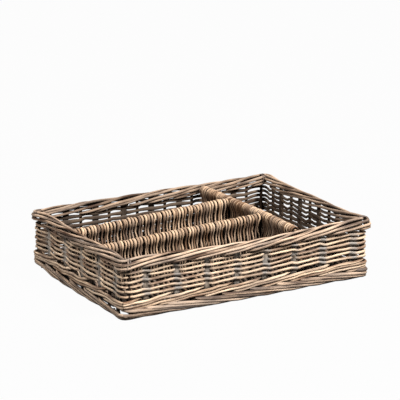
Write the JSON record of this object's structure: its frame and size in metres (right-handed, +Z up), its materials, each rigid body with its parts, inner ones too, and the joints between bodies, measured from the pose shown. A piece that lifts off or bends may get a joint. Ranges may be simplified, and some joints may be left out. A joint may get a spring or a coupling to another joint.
{
  "type": "cutlery basket",
  "caption": "Rectangular open basket of woven rattan rods with a rolled rim and foot; woven dividers part it into long compartments for cutlery and a cross compartment at its end.",
  "frame": {"origin": "middle of the footprint, on the floor under the foot", "axes": "+X along the long side towards the cross compartment, +Y to the back, +Z up; the picture looks from -X, -Y"},
  "size_m": [0.38, 0.27, 0.083],
  "materials": {
    "weaver_rattan": "unvarnished weathered rattan rod, matt with lengthwise grain",
    "stake_rattan": "grey weathered rattan rod, matt",
    "border_rattan": "unvarnished rattan rod, faint sheen on the rolled rim",
    "divider_rattan": "paler unvarnished rattan rod, matt",
    "base_rattan": "unvarnished rattan rod, matt"
  },
  "bodies": {
    "root": {"back_divider_rail": "divider_rattan", "back_divider_rods": "divider_rattan", "back_divider_strands": "divider_rattan", "back_foot_bearer": "border_rattan", "back_foot_border": "border_rattan", "back_ribs": "stake_rattan", "back_rim": "border_rattan", "back_stakes": "stake_rattan", "back_wale": "weaver_rattan", "back_weaver_1": "weaver_rattan", "back_weaver_2": "weaver_rattan", "back_weaver_3": "weaver_rattan", "back_weaver_4": "weaver_rattan", "back_weaver_5": "weaver_rattan", "back_weaver_6": "weaver_rattan", "base_sticks": "base_rattan", "base_weavers": "base_rattan", "cross_divider_rail": "divider_rattan", "cross_divider_rods": "divider_rattan", "cross_divider_strands": "divider_rattan", "front_divider_rail": "divider_rattan", "front_divider_rods": "divider_rattan", "front_divider_strands": "divider_rattan", "front_foot_bearer": "border_rattan", "front_foot_border": "border_rattan", "front_ribs": "stake_rattan", "front_rim": "border_rattan", "front_stakes": "stake_rattan", "front_wale": "weaver_rattan", "front_weaver_1": "weaver_rattan", "front_weaver_2": "weaver_rattan", "front_weaver_3": "weaver_rattan", "front_weaver_4": "weaver_rattan", "front_weaver_5": "weaver_rattan", "front_weaver_6": "weaver_rattan", "left_foot_bearer": "border_rattan", "left_foot_border": "border_rattan", "left_ribs": "stake_rattan", "left_rim": "border_rattan", "left_stakes": "stake_rattan", "left_wale": "weaver_rattan", "left_weaver_1": "weaver_rattan", "left_weaver_2": "weaver_rattan", "left_weaver_3": "weaver_rattan", "left_weaver_4": "weaver_rattan", "left_weaver_5": "weaver_rattan", "left_weaver_6": "weaver_rattan", "right_foot_bearer": "border_rattan", "right_foot_border": "border_rattan", "right_ribs": "stake_rattan", "right_rim": "border_rattan", "right_stakes": "stake_rattan", "right_wale": "weaver_rattan", "right_weaver_1": "weaver_rattan", "right_weaver_2": "weaver_rattan", "right_weaver_3": "weaver_rattan", "right_weaver_4": "weaver_rattan", "right_weaver_5": "weaver_rattan", "right_weaver_6": "weaver_rattan"}
  },
  "joints": []
}
